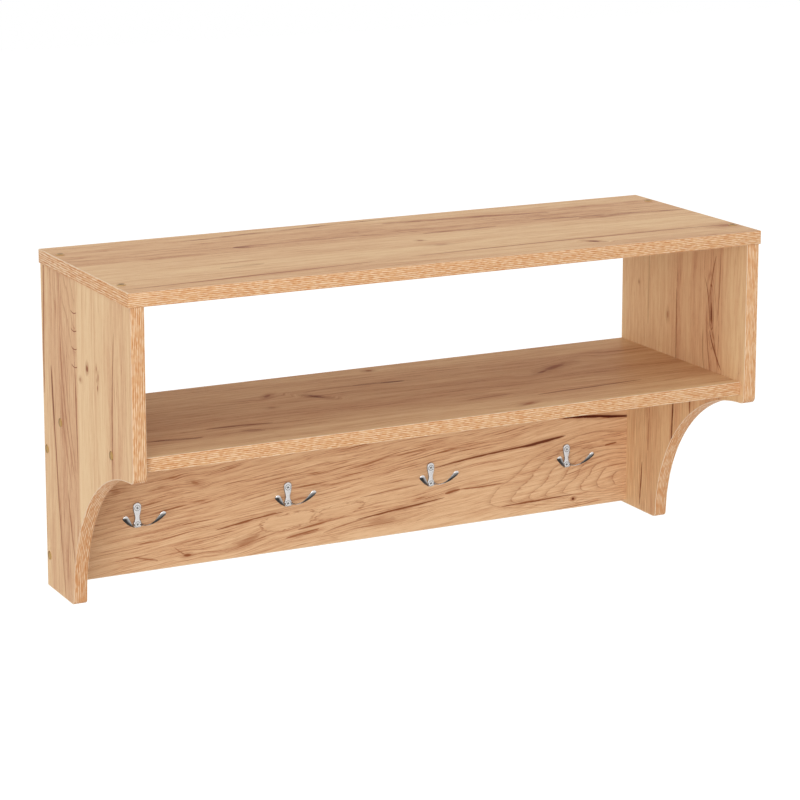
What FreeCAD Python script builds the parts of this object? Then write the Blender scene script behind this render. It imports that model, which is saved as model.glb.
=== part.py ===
# Wall coat rack with a hat shelf: a laminated chipboard case with edge bands, an open compartment,
# a hook board and four small double hooks, held by connector screws under domed cover caps.
# Millimetres. X runs left to right, Y runs back to the wall and Z is up. The origin is on the wall,
# midway between the entry holes of the two keyhole hangers.

import FreeCAD, Part
import math
import os

V = FreeCAD.Vector

# Case
overall_width = 800.0
overall_height = 400.0
top_depth = 280.0
board = 16.0
band = 1.0
top_overhang = 2.0          # top board past the outer face of each side panel
front_reveal = 1.0          # top board past the front edge of each side panel
shelf_setback = 9.0         # front of the shelf behind the front edge of each side panel
compartment_height = 168.0  # clear height between the shelf and the top board
hook_board_lift = 4.0       # lower edge of the hook board above the feet of the side panels

# Curved front of the side panels, a quarter arch that starts low at the foot and ends at the brow
arch_headroom = 10.0        # crown of the arch below the underside of the shelf
arch_lead = 2.0             # front edge of the side panel ahead of the crown
brow_radius = 8.0           # rounded corner above the arch
toe_radius = 6.0            # rounded front corner of the foot

# Connector screws, their holes and their caps
connector_length = 50.0
connector_head_radius = 4.75
connector_head_rim = 0.8
connector_shank_radius = 3.5
connector_shank_length = 9.0
connector_core_radius = 2.5
connector_tip_length = 4.0
connector_socket_radius = 2.3
connector_socket_depth = 3.6
socket_sides = 6
hole_clearance = 0.1        # round every screw in its hole
connector_pilot_spare = 2.0 # pilot hole past the tip of its screw
top_connector_inset = 45.0  # from the back and from the front edge of the side panel
shelf_connector_inset = 55.0
hook_board_connector_inset = 34.0
cap_radius = 5.0
cap_rise = 1.2
cap_stem_radius = 1.8
cap_stem_length = 3.0

# Double hooks
hook_count = 4
hook_end_inset = 90.0      # outermost hook from the inner face of its side panel
hook_drop = 110.0           # top of the hook plate below the underside of the shelf
plate_height = 30.5
plate_thickness = 2.0
plate_edge_round = 0.5
plate_head_radius = 4.9
plate_waist_half_width = 2.9
plate_waist_drop = 19.5     # from the top of the plate to its narrowest place
plate_foot_half_width = 6.8
plate_foot_corner_lift = 2.7
hook_screw_drop = 6.5       # from the top of the plate to its upper screw
hook_screw_spacing = 20.0

# Horns of the hooks, measured from the middle of the plate's foot on the face of the hook board
horn_spread = 26.2
horn_reach = 24.8
horn_rise = 22.4
horn_root_height = 3.4      # where it leaves the plate
horn_blade_width = 7.0      # near its end
horn_blade_turn = 70.0      # degrees that the lower face is turned to the front there
horn_tip_round = 3.0        # length of the rounded end
# Places that the middle of a horn passes: outward, forward and up, as shares of spread, reach and rise
horn_path_shares = (
    (0.17, 0.04, 0.15),
    (0.38, 0.52, 0.235),
    (0.67, 0.83, 0.545),
    (0.91, 0.97, 0.89),
    (1.00, 1.00, 1.00),
)
# Sections of a horn: place along it, width, thickness and turn, as shares of its length up to the
# rounded end, of the blade's width, of the root's height and of the blade's turn
horn_section_shares = (
    (0.00, 0.29, 1.00, 0.00),
    (0.10, 0.27, 0.74, 0.06),
    (0.22, 0.24, 0.50, 0.16),
    (0.36, 0.25, 0.43, 0.36),
    (0.50, 0.36, 0.44, 0.66),
    (0.65, 0.62, 0.48, 0.90),
    (0.82, 0.88, 0.53, 1.00),
    (1.00, 1.00, 0.53, 1.00),
)
horn_tip_angles = (25.0, 50.0, 70.0)    # degrees round the quarter ellipse of the rounded end
loft_degree = 3

# Countersunk wood screws
hook_screw_length = 14.0
hook_screw_head_radius = 3.1
hook_screw_core_radius = 1.1
hanger_screw_length = 16.0
hanger_screw_head_radius = 3.2
hanger_screw_core_radius = 1.2
wood_screw_rim = 0.3
wood_screw_tip = 3.0
wood_screw_pilot_spare = 1.0
recess_radius = 1.75        # cross recess in the head, at its mouth and at its floor
recess_floor_radius = 0.6
recess_slot_width = 0.75
recess_depth = 1.5

# Keyhole hangers on the back edges of the side panels
hanger_drop = 50.0          # entry hole below the upper face of the top board
hanger_thickness = 1.5
hanger_width = 15.0
hanger_length = 44.0
hanger_lift = 3.0           # middle of the plate above the entry hole
hanger_screw_spacing = 33.0
keyhole_radius = 4.5
keyhole_slot_radius = 2.25
keyhole_slot_rise = 8.0
pocket_radius = 5.5
pocket_depth = 14.0

# Shared by every cut
overrun = 1.0

# Places worked out from the sizes above
x_end = overall_width / 2
x_outer = x_end - top_overhang
x_inner = x_outer - board
x_panel = x_outer - board / 2
y_back = -hanger_thickness
y_top_front = y_back - top_depth
y_side_front = y_top_front + front_reveal
y_shelf_front = y_side_front + shelf_setback
y_hook_face = y_back - board
z_top = hanger_drop
z_top_under = z_top - board
z_shelf = z_top_under - compartment_height
z_shelf_under = z_shelf - board
z_foot = z_top - overall_height
z_hook_board_low = z_foot + hook_board_lift
z_hook_top = z_shelf_under - hook_drop
z_hook_foot = z_hook_top - plate_height
arch_radius = z_shelf_under - arch_headroom - z_foot
y_arch = y_side_front + arch_lead


def box(x0, x1, y0, y1, z0, z1):
    return Part.makeBox(x1 - x0, y1 - y0, z1 - z0, V(x0, y0, z0))


def spun(outline):
    """Solid of revolution about Z from (radius, height) points whose first and last lie on the axis."""
    points = [V(radius, 0, height) for radius, height in outline]
    face = Part.Face(Part.makePolygon(points + points[:1]))
    return face.revolve(V(0, 0, 0), V(0, 0, 1), 360)


def stadium(radius, low, high, y0, y1, x):
    """Prism along Y with round ends, centred on x, between two end centres at heights low and high."""
    left, right = x - radius, x + radius
    edges = [
        Part.Arc(V(left, y0, high), V(x, y0, high + radius), V(right, y0, high)).toShape(),
        Part.makeLine(V(right, y0, high), V(right, y0, low)),
        Part.Arc(V(right, y0, low), V(x, y0, low - radius), V(left, y0, low)).toShape(),
        Part.makeLine(V(left, y0, low), V(left, y0, high)),
    ]
    return Part.Face(Part.Wire(edges)).extrude(V(0, y1 - y0, 0))


def aimed(shape, place, direction):
    """Copy of a shape drawn with its head at the origin and its shank down -Z, moved to its place."""
    turned = shape.copy()
    turned.Placement = FreeCAD.Placement(place, FreeCAD.Rotation(V(0, 0, -1), direction))
    return turned


# Fasteners, each drawn with its head flush at the origin and its shank down -Z. An outline runs from
# the middle of the head to the tip as (radius, height) points.

def connector_outline():
    cone = connector_head_radius - connector_shank_radius
    step = connector_shank_radius - connector_core_radius
    return (
        (0, 0),
        (connector_head_radius, 0),
        (connector_head_radius, -connector_head_rim),
        (connector_shank_radius, -connector_head_rim - cone),
        (connector_shank_radius, -connector_shank_length),
        (connector_core_radius, -connector_shank_length - step),
        (connector_core_radius, -connector_length + connector_tip_length),
        (0, -connector_length),
    )


def wood_screw_outline(length, head_radius, core_radius):
    return (
        (0, 0),
        (head_radius, 0),
        (head_radius, -wood_screw_rim),
        (core_radius, -wood_screw_rim - head_radius + core_radius),
        (core_radius, -length + wood_screw_tip),
        (0, -length),
    )


def cross_recess():
    """Recess for a cross-head screwdriver, tapering into the head."""
    half, reach = recess_slot_width / 2, recess_radius + overrun
    slots = box(-reach, reach, -half, half, -recess_depth, 0).fuse(
        box(-half, half, -reach, reach, -recess_depth, 0)
    )
    taper = Part.makeCone(recess_floor_radius, recess_radius, recess_depth, V(0, 0, -recess_depth))
    return slots.common(taper)


def wood_screw(outline):
    return spun(outline).cut(cross_recess())


def bore(outline, spare):
    """Stepped, countersunk hole that a fastener of this outline goes into with the named clearance."""
    wall = [(radius + hole_clearance, height) for radius, height in outline[2:-2]]
    core, length = outline[-2][0] + hole_clearance, -outline[-1][1]
    return spun([(0, overrun), (wall[0][0], overrun)] + wall + [(core, -length), (0, -length - spare)])


def connector():
    angles = [2 * math.pi * i / socket_sides for i in range(socket_sides)]
    corners = [V(math.cos(a), math.sin(a), 0) * connector_socket_radius for a in angles]
    socket = Part.Face(Part.makePolygon(corners + corners[:1])).extrude(V(0, 0, -connector_socket_depth))
    return spun(connector_outline()).cut(socket)


def cap():
    """Domed cover with a stem that plugs into the socket of a connector."""
    sphere_radius = (cap_radius ** 2 + cap_rise ** 2) / (2 * cap_rise)
    sphere = Part.makeSphere(sphere_radius, V(0, 0, cap_rise - sphere_radius))
    dome = sphere.common(Part.makeCylinder(cap_radius, cap_rise))
    return dome.fuse(Part.makeCylinder(cap_stem_radius, cap_stem_length, V(0, 0, -cap_stem_length)))


connector_bore = bore(connector_outline(), connector_pilot_spare)
hook_screw_outline = wood_screw_outline(hook_screw_length, hook_screw_head_radius, hook_screw_core_radius)
hook_screw_bore = bore(hook_screw_outline, wood_screw_pilot_spare)
hanger_screw_outline = wood_screw_outline(
    hanger_screw_length, hanger_screw_head_radius, hanger_screw_core_radius
)
hanger_screw_bore = bore(hanger_screw_outline, wood_screw_pilot_spare)


# Where the fasteners go, as (place of the head, direction of the shank)

def mirrored(places):
    return places + [(V(-p.x, p.y, p.z), V(-d.x, d.y, d.z)) for p, d in places]


top_rows = (y_back - top_connector_inset, y_side_front + top_connector_inset)
top_connectors = mirrored([(V(x_panel, y, z_top), V(0, 0, -1)) for y in top_rows])
shelf_rows = (y_back - shelf_connector_inset, y_shelf_front + shelf_connector_inset)
shelf_connectors = mirrored([(V(x_outer, y, z_shelf - board / 2), V(-1, 0, 0)) for y in shelf_rows])
hook_board_rows = (z_shelf_under - hook_board_connector_inset, z_hook_board_low + hook_board_connector_inset)
hook_board_connectors = mirrored([(V(x_outer, y_back - board / 2, z), V(-1, 0, 0)) for z in hook_board_rows])

hook_gap = 2 * (x_inner - hook_end_inset) / (hook_count - 1)
hook_places = [hook_end_inset - x_inner + i * hook_gap for i in range(hook_count)]
z_hook_screws = (z_hook_top - hook_screw_drop, z_hook_top - hook_screw_drop - hook_screw_spacing)
y_plate_face = y_hook_face - plate_thickness
hook_screws = [(V(x, y_plate_face, z), V(0, 1, 0)) for x in hook_places for z in z_hook_screws]

z_hanger_screws = (hanger_lift + hanger_screw_spacing / 2, hanger_lift - hanger_screw_spacing / 2)
hanger_screws = mirrored([(V(x_panel, 0, z), V(0, -1, 0)) for z in z_hanger_screws])


def on_side(side, places):
    return [(p, d) for p, d in places if p.x * side > 0]


def drilled(solid, tool, places):
    for place, direction in places:
        solid = solid.cut(aimed(tool, place, direction))
    return solid


def group(shape, places):
    return Part.makeCompound([aimed(shape, place, direction) for place, direction in places])


# Boards and edge bands

def top_board():
    core = box(-x_end + band, x_end - band, y_top_front + band, y_back, z_top_under, z_top)
    return drilled(core, connector_bore, top_connectors)


def top_band_front():
    return box(-x_end, x_end, y_top_front, y_top_front + band, z_top_under, z_top)


def top_band_end(side):
    x0, x1 = (x_end - band, x_end) if side > 0 else (-x_end, -x_end + band)
    return box(x0, x1, y_top_front + band, y_back, z_top_under, z_top)


def side_outline(inset):
    """Face of a side panel in the plane of its outer side, inset from its finished front, arch and foot."""
    y_brow = y_side_front + brow_radius
    z_brow = z_foot + math.sqrt((arch_radius + brow_radius) ** 2 - (y_brow - y_arch) ** 2)
    z_toe = z_foot + toe_radius
    y_toe = y_arch + math.sqrt((arch_radius + toe_radius) ** 2 - (z_toe - z_foot) ** 2)
    to_brow = math.atan2(z_brow - z_foot, y_brow - y_arch)
    to_toe = math.atan2(z_toe - z_foot, y_toe - y_arch)

    def arc(y, z, radius, start, end):
        angles = (start, (start + end) / 2, end)
        return Part.Arc(*[V(0, y + radius * math.cos(a), z + radius * math.sin(a)) for a in angles]).toShape()

    brow = arc(y_brow, z_brow, brow_radius - inset, math.pi, math.pi + to_brow)
    arch = arc(y_arch, z_foot, arch_radius + inset, to_brow, to_toe)
    toe = arc(y_toe, z_toe, toe_radius - inset, math.pi + to_toe, 3 * math.pi / 2)
    top_back = V(0, y_back, z_top_under)
    top_front = V(0, y_side_front + inset, z_top_under)
    heel = V(0, y_back, z_foot + inset)
    edges = [
        Part.makeLine(top_back, top_front),
        Part.makeLine(top_front, brow.Vertexes[0].Point),
        brow,
        arch,
        toe,
        Part.makeLine(toe.Vertexes[-1].Point, heel),
        Part.makeLine(heel, top_back),
    ]
    return Part.Face(Part.Wire(edges))


def side_blank(side, inset):
    x0 = x_inner if side > 0 else -x_outer
    face = side_outline(inset)
    face.translate(V(x0, 0, 0))
    return face.extrude(V(board, 0, 0))


def side_panel(side):
    """Side panel with the bores of its connectors and hanger screws and a pocket behind the keyhole."""
    connectors = top_connectors + shelf_connectors + hook_board_connectors
    panel = drilled(side_blank(side, band), connector_bore, on_side(side, connectors))
    panel = drilled(panel, hanger_screw_bore, on_side(side, hanger_screws))
    y_pocket = y_back - pocket_depth
    return panel.cut(stadium(pocket_radius, 0, keyhole_slot_rise, y_pocket, y_back + overrun, side * x_panel))


def side_band(side):
    return side_blank(side, 0).cut(side_blank(side, band))


def shelf_board():
    core = box(-x_inner, x_inner, y_shelf_front + band, y_back, z_shelf_under, z_shelf)
    return drilled(core, connector_bore, shelf_connectors)


def shelf_band():
    return box(-x_inner, x_inner, y_shelf_front, y_shelf_front + band, z_shelf_under, z_shelf)


def hook_board():
    core = box(-x_inner, x_inner, y_hook_face, y_back, z_hook_board_low + band, z_shelf_under)
    core = drilled(core, connector_bore, hook_board_connectors)
    return drilled(core, hook_screw_bore, hook_screws)


def hook_board_band():
    return box(-x_inner, x_inner, y_hook_face, y_back, z_hook_board_low, z_hook_board_low + band)


# Hooks

def hook_plate():
    """Upright plate with a round head, a waist and a flared foot, its back on the hook board."""
    head_z = z_hook_top - plate_head_radius
    waist_z = z_hook_top - plate_waist_drop
    corner_z = z_hook_foot + plate_foot_corner_lift

    def flank(side):
        curve = Part.BSplineCurve()
        curve.interpolate(
            Points=[
                V(side * plate_head_radius, 0, head_z),
                V(side * plate_waist_half_width, 0, waist_z),
                V(side * plate_foot_half_width, 0, corner_z),
            ],
            InitialTangent=V(0, 0, -1),
            FinalTangent=V(side, 0, -1.2),
        )
        return curve.toShape()

    def end(half_width, z, crown_z):
        return Part.Arc(V(-half_width, 0, z), V(0, 0, crown_z), V(half_width, 0, z)).toShape()

    head = end(plate_head_radius, head_z, z_hook_top)
    foot = end(plate_foot_half_width, corner_z, z_hook_foot)
    face = Part.Face(Part.Wire(Part.__sortEdges__([head, flank(1), foot, flank(-1)])))
    face.translate(V(0, y_hook_face, 0))
    plate = face.extrude(V(0, -plate_thickness, 0))
    rim = [e for e in plate.Edges if all(abs(v.Y - y_plate_face) < plate_edge_round for v in e.Vertexes)]
    return plate.makeFillet(plate_edge_round, rim)


def horn_sections(length):
    """Sections of a horn as (distance along it, width, thickness, turn), closing in a rounded end."""
    straight = length - horn_tip_round
    sections = [
        (place * straight, width * horn_blade_width, thickness * horn_root_height, turn * horn_blade_turn)
        for place, width, thickness, turn in horn_section_shares
    ]
    width, thickness, turn = sections[-1][1:]
    for angle in map(math.radians, horn_tip_angles):
        place, share = straight + horn_tip_round * math.sin(angle), math.cos(angle)
        sections.append((place, width * share, thickness * share, turn))
    return sections


def ellipse(centre, half_width, half_thickness, along):
    """Elliptic section that starts at the end of its width, whichever of its two sizes is larger."""
    columns = (half_width, half_thickness, along, centre)
    rows = [[getattr(column, axis) for column in columns] for axis in "xyz"]
    spread = FreeCAD.Matrix(*rows[0], *rows[1], *rows[2], 0, 0, 0, 1)
    return Part.Wire(Part.makeCircle(1).transformGeometry(spread))


def horn():
    """Flattened prong on the right, which leaves the foot of the plate and sweeps forward, out and up.

    Its sections are ellipses. It is upright at the plate, thins to a neck and widens to a blade with a
    rounded end, and its lower face turns to the front.
    """
    path = Part.BSplineCurve()
    path.interpolate(Points=[
        V(out * horn_spread, y_hook_face - forward * horn_reach, z_hook_foot + up * horn_rise)
        for out, forward, up in horn_path_shares
    ])
    wires = []
    for distance, width, thickness, turn in horn_sections(path.length()):
        place = path.parameterAtDistance(distance, path.FirstParameter)
        along = path.tangent(place)[0]
        turned = math.radians(turn)
        across = along.cross(V(0, -math.sin(turned), -math.cos(turned))).normalize()
        face = across.cross(along).normalize()
        wires.append(ellipse(path.value(place), across * (width / 2), face * (thickness / 2), along))
    return Part.makeLoft(wires, True, False, False, loft_degree)


def hook():
    """Double hook at x = 0: a plate with two horns, cast in one piece."""
    right = horn()
    left = right.mirror(V(0, 0, 0), V(1, 0, 0))
    body = hook_plate().fuse([right, left])
    body = body.cut(box(-horn_spread, horn_spread, y_hook_face, y_back, z_hook_foot - horn_rise, z_hook_top))
    return drilled(body, hook_screw_bore, [(V(0, y_plate_face, z), V(0, 1, 0)) for z in z_hook_screws])


# Hangers

def hanger(side):
    x = side * x_panel
    half = hanger_length / 2 - hanger_width / 2
    plate = stadium(hanger_width / 2, hanger_lift - half, hanger_lift + half, y_back, 0, x)
    entry = Part.makeCylinder(
        keyhole_radius, hanger_thickness + 2 * overrun, V(x, y_back - overrun, 0), V(0, 1, 0)
    )
    slot = stadium(keyhole_slot_radius, 0, keyhole_slot_rise, y_back - overrun, overrun, x)
    plate = plate.cut(entry).cut(slot)
    return drilled(plate, hanger_screw_bore, on_side(side, hanger_screws))


# Every node of the part, by name

def nodes():
    yield "top_board", top_board()
    yield "top_band_front", top_band_front()
    yield "top_band_left", top_band_end(-1)
    yield "top_band_right", top_band_end(1)
    for name, side in (("left", -1), ("right", 1)):
        yield "side_panel_" + name, side_panel(side)
        yield "side_band_" + name, side_band(side)
        yield "hanger_" + name, hanger(side)
        yield "side_caps_" + name, group(cap(), on_side(side, shelf_connectors + hook_board_connectors))
    yield "shelf_board", shelf_board()
    yield "shelf_band", shelf_band()
    yield "hook_board", hook_board()
    yield "hook_board_band", hook_board_band()
    yield "top_connectors", group(connector(), top_connectors)
    yield "shelf_connectors", group(connector(), shelf_connectors)
    yield "hook_board_connectors", group(connector(), hook_board_connectors)
    yield "top_caps", group(cap(), top_connectors)
    double_hook = hook()
    for i, x in enumerate(hook_places):
        yield "hook_%d" % (i + 1), double_hook.translated(V(x, 0, 0))
    yield "hook_screws", group(wood_screw(hook_screw_outline), hook_screws)
    yield "hanger_screws", group(wood_screw(hanger_screw_outline), hanger_screws)


os.makedirs("parts", exist_ok=True)
for name, shape in nodes():
    shape.exportStep("parts/" + name + ".step")
    print("%-24s %2d solids, valid: %s, %.1f mm3" % (name, len(shape.Solids), shape.isValid(), shape.Volume))
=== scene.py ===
"""Coat rack with a hat shelf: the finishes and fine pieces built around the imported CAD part."""

import logging
import math
from collections.abc import Iterable, Mapping, Sequence
from dataclasses import dataclass, field
from enum import Enum
from typing import Any, Optional

import bmesh
import bpy
from mathutils import Euler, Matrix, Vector
from mathutils.bvhtree import BVHTree

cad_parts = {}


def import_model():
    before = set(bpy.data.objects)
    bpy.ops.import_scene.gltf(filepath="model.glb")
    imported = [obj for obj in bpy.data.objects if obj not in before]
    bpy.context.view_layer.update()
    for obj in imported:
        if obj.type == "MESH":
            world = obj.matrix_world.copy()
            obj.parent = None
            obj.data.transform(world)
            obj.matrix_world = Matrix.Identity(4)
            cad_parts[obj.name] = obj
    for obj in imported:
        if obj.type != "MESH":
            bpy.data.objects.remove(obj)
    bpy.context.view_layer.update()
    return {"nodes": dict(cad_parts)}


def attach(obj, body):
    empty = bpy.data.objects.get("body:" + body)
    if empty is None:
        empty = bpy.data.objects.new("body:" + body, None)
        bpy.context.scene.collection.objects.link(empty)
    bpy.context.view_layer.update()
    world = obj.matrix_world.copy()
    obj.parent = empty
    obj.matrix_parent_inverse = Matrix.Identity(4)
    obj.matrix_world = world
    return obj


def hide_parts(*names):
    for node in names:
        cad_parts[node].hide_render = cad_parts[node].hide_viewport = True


log = logging.getLogger("coat_rack")

MM = 0.001
# Corners that lie closer than this are one corner
CLOSENESS = 0.002 * MM
BODY = "root"

Colour = tuple[float, float, float, float]
Spot = tuple[float, float]
Socket = bpy.types.NodeSocket

# The curve of screen colours: a straight start up to a knee, and a power above it
SCREEN_SLOPE = 12.92
SCREEN_KNEE = 0.04045
SCREEN_OFFSET = 0.055
SCREEN_POWER = 2.4


def paint(red: int, green: int, blue: int) -> Colour:
    """Turns a colour as seen on a screen, 0 to 255, into the linear colour a shader takes.

    Args:
        red: Red level.
        green: Green level.
        blue: Blue level.

    Returns:
        Linear red, green and blue with an alpha of 1.
    """
    levels = []
    for level in (red, green, blue):
        share = level / 255
        if share <= SCREEN_KNEE:
            levels.append(share / SCREEN_SLOPE)
        else:
            levels.append(((share + SCREEN_OFFSET) / (1 + SCREEN_OFFSET)) ** SCREEN_POWER)
    return (levels[0], levels[1], levels[2], 1.0)


class Graph:
    """A node tree, with one way to add a node and fill its sockets."""

    def __init__(self, tree: bpy.types.NodeTree) -> None:
        """Starts from an empty tree."""
        self.tree = tree
        self.tree.nodes.clear()

    def node(
        self,
        kind: str,
        settings: Optional[Mapping[str, Any]] = None,
        inputs: Optional[Mapping[Any, Any]] = None,
    ) -> bpy.types.Node:
        """Adds one node.

        Args:
            kind: Type of the node.
            settings: Its properties, set first. "stops" gives a ramp's places and colours.
            inputs: Values or links of its sockets, by name or index.

        Returns:
            The new node.
        """
        made = self.tree.nodes.new(kind)
        for name, value in (settings or {}).items():
            if name == "stops":
                self.set_stops(made.color_ramp, value)
            else:
                setattr(made, name, value)
        for key, value in (inputs or {}).items():
            self.feed(made.inputs[key], value)
        return made

    @staticmethod
    def set_stops(ramp: bpy.types.ColorRamp, stops: Sequence[tuple[float, Colour]]) -> None:
        """Gives a colour ramp its stops.

        Args:
            ramp: The ramp, which has two stops to begin with.
            stops: Places and colours, at least two of them.
        """
        while len(ramp.elements) < len(stops):
            ramp.elements.new(0.5)
        for element, (place, colour) in zip(ramp.elements, stops):
            element.position = place
            element.color = colour

    def feed(self, socket: Socket, value: Any) -> None:
        """Links a value into a socket, or sets it there.

        Args:
            socket: The socket to fill.
            value: A value or socket to link, or a plain number, vector or colour.
        """
        source = value.socket if isinstance(value, Value) else value
        if isinstance(source, bpy.types.NodeSocket):
            self.tree.links.new(source, socket)
        else:
            socket.default_value = source

    def vector(self, *parts: Any) -> Socket:
        """Joins three numbers into a vector."""
        return self.node("ShaderNodeCombineXYZ", inputs=dict(enumerate(parts))).outputs[0]

    def split(self, vector: Any) -> tuple["Value", "Value", "Value"]:
        """The three parts of a vector."""
        parts = self.node("ShaderNodeSeparateXYZ", inputs={0: vector}).outputs
        return (Value(self, parts[0]), Value(self, parts[1]), Value(self, parts[2]))


class Value:
    """A number carried by a socket. Arithmetic on it adds Math nodes."""

    def __init__(self, graph: Graph, socket: Socket) -> None:
        """Wraps a socket of a graph."""
        self.graph = graph
        self.socket = socket

    def math(self, operation: str, *terms: Any, clamp: bool = False) -> "Value":
        """Adds a Math node.

        Args:
            operation: Name of the operation.
            terms: Its terms in order, values or numbers.
            clamp: Whether the result stays between 0 and 1.

        Returns:
            The result.
        """
        settings = {"operation": operation, "use_clamp": clamp}
        made = self.graph.node("ShaderNodeMath", settings, dict(enumerate(terms)))
        return Value(self.graph, made.outputs[0])

    def __add__(self, other: Any) -> "Value":
        """Sum."""
        return self.math("ADD", self, other)

    def __radd__(self, other: Any) -> "Value":
        """Sum with a number first."""
        return self.math("ADD", other, self)

    def __sub__(self, other: Any) -> "Value":
        """Difference."""
        return self.math("SUBTRACT", self, other)

    def __rsub__(self, other: Any) -> "Value":
        """Difference from a number."""
        return self.math("SUBTRACT", other, self)

    def __mul__(self, other: Any) -> "Value":
        """Product."""
        return self.math("MULTIPLY", self, other)

    def __rmul__(self, other: Any) -> "Value":
        """Product with a number first."""
        return self.math("MULTIPLY", other, self)

    def __truediv__(self, other: Any) -> "Value":
        """Quotient."""
        return self.math("DIVIDE", self, other)

    def __pow__(self, power: float) -> "Value":
        """Power."""
        return self.math("POWER", self, power)

    def __abs__(self) -> "Value":
        """Size without its sign."""
        return self.math("ABSOLUTE", self)

    def root(self) -> "Value":
        """Square root."""
        return self.math("SQRT", self)

    def clamp(self) -> "Value":
        """The value held between 0 and 1."""
        return self.math("ADD", self, 0.0, clamp=True)

    def centred(self) -> "Value":
        """The value less a half, so that noise swings about 0."""
        return self - 0.5

    def lowest(self, other: Any) -> "Value":
        """The lower of two values."""
        return self.math("MINIMUM", self, other)

    def highest(self, other: Any) -> "Value":
        """The higher of two values."""
        return self.math("MAXIMUM", self, other)

    def above(self, limit: Any) -> "Value":
        """1 where the value is above a limit, and 0 elsewhere."""
        return self.math("GREATER_THAN", self, limit)

    def fade(self, start: Any, end: Any, smooth: bool = True) -> "Value":
        """Goes from 0 at one value to 1 at another.

        Args:
            start: Value that gives 0.
            end: Value that gives 1, above or below start.
            smooth: Whether both ends are eased.

        Returns:
            A share from 0 to 1.
        """
        settings = {"interpolation_type": "SMOOTHSTEP" if smooth else "LINEAR"}
        inputs = {"Value": self, "From Min": start, "From Max": end}
        made = self.graph.node("ShaderNodeMapRange", settings, inputs)
        return Value(self.graph, made.outputs["Result"])


class Finish(Graph):
    """A material in the making: its tree, with a Principled shader joined to the output."""

    def __init__(self, name: str) -> None:
        """Makes the material and its shader.

        Args:
            name: Name of the material.
        """
        self.material = bpy.data.materials.new(name)
        self.material.use_nodes = True
        super().__init__(self.material.node_tree)
        self.shader = self.node("ShaderNodeBsdfPrincipled")
        output = self.node("ShaderNodeOutputMaterial")
        self.feed(output.inputs["Surface"], self.shader.outputs["BSDF"])
        self.places = self.node("ShaderNodeTexCoord").outputs["Object"]
        self.normal = self.node("ShaderNodeNewGeometry").outputs["Normal"]

    def facing(self) -> tuple[Value, Value, Value]:
        """How far the surface faces along X, Y and Z."""
        return self.split(self.normal)

    def millimetres(self) -> tuple[Value, Value, Value]:
        """The place on the object along X, Y and Z, in millimetres."""
        inputs = {0: self.places, "Scale": 1 / MM}
        return self.split(self.node("ShaderNodeVectorMath", {"operation": "SCALE"}, inputs).outputs[0])

    def noise(self, parts: Sequence[Any], detail: float = 2.0, rough: float = 0.5) -> Value:
        """Smooth noise about 0.5.

        Args:
            parts: The three parts of the place to read, in noise cells.
            detail: Number of finer layers.
            rough: How strong the finer layers are.

        Returns:
            The noise, mostly from 0.2 to 0.8.
        """
        inputs = {"Vector": self.vector(*parts), "Scale": 1.0, "Detail": detail, "Roughness": rough}
        return Value(self, self.node("ShaderNodeTexNoise", inputs=inputs).outputs[0])

    def chips(self, parts: Sequence[Any]) -> Value:
        """A random share for each cell, for pressed chips or zinc flowers."""
        inputs = {"Vector": self.vector(*parts), "Scale": 1.0}
        return self.split(self.node("ShaderNodeTexVoronoi", inputs=inputs).outputs["Color"])[0]

    def shades(self, share: Value, stops: Sequence[tuple[float, Colour]]) -> Socket:
        """Colours picked from a ramp."""
        return self.node("ShaderNodeValToRGB", {"stops": stops}, {0: share}).outputs["Color"]

    def mix(self, share: Any, first: Any, second: Any) -> Socket:
        """Mixes two colours, the second one by its share."""
        settings = {"data_type": "RGBA", "blend_type": "MIX"}
        return self.node("ShaderNodeMix", settings, {0: share, 6: first, 7: second}).outputs[2]

    def relief(self, height: Value, strength: float, depth: float) -> Socket:
        """The surface normal with a height pressed into it, in metres of depth."""
        inputs = {"Height": height, "Strength": strength, "Distance": depth}
        return self.node("ShaderNodeBump", inputs=inputs).outputs[0]

    def set(self, **inputs: Any) -> None:
        """Fills sockets of the shader, with spaces in their names written as underscores."""
        for name, value in inputs.items():
            self.feed(self.shader.inputs[name.replace("_", " ")], value)


class Lay(Enum):
    """How a board lies: which axes run along its grain, across it and through its thickness."""

    FLAT = (0, 1, 2)
    UPRIGHT = (0, 2, 1)
    PANEL = (2, 1, 0)


@dataclass(frozen=True)
class Grain:
    """Noise drawn out along the grain, with the length and width of its cells in millimetres."""

    length: float
    width: float
    detail: float = 2.0
    rough: float = 0.5
    shift: float = 0.0

    def read(self, finish: Finish, along: Value, across: Value, layer: Any) -> Value:
        """Reads the noise at a place.

        Args:
            finish: The material in the making.
            along: Place along the grain.
            across: Place across the grain.
            layer: Depth coordinate or seed.

        Returns:
            The noise about 0.5.
        """
        parts = (along / self.length, across / self.width, layer + self.shift)
        return finish.noise(parts, self.detail, self.rough)


# The layers of the oak decor, from its slow sway to the frayed edges of its cracks
SWAY = Grain(130, 40, 1.0)
BROAD = Grain(380, 26)
STREAK = Grain(150, 5, 3.0, 0.6)
FINE = Grain(40, 1.3, 2.0, 0.6)
PORES = Grain(9, 0.7, 1.0, shift=5.0)
HAIRS = Grain(70, 1.7, 2.0, 0.6, 6.0)
RAGGED = Grain(16, 3, 2.0, 0.6, 8.0)
FIBRES = Grain(45, 1.6, 2.0, 0.6, 9.0)
WANDER = Grain(190, 17, shift=3.7)
GATE = Grain(120, 40, 1.0, shift=9.1)


@dataclass(frozen=True)
class Place:
    """A place on a board's decor, in millimetres, and the noise that its features read there."""

    along: Value
    across: Value
    ragged: Value
    sway: Value
    fibres: Value


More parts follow.
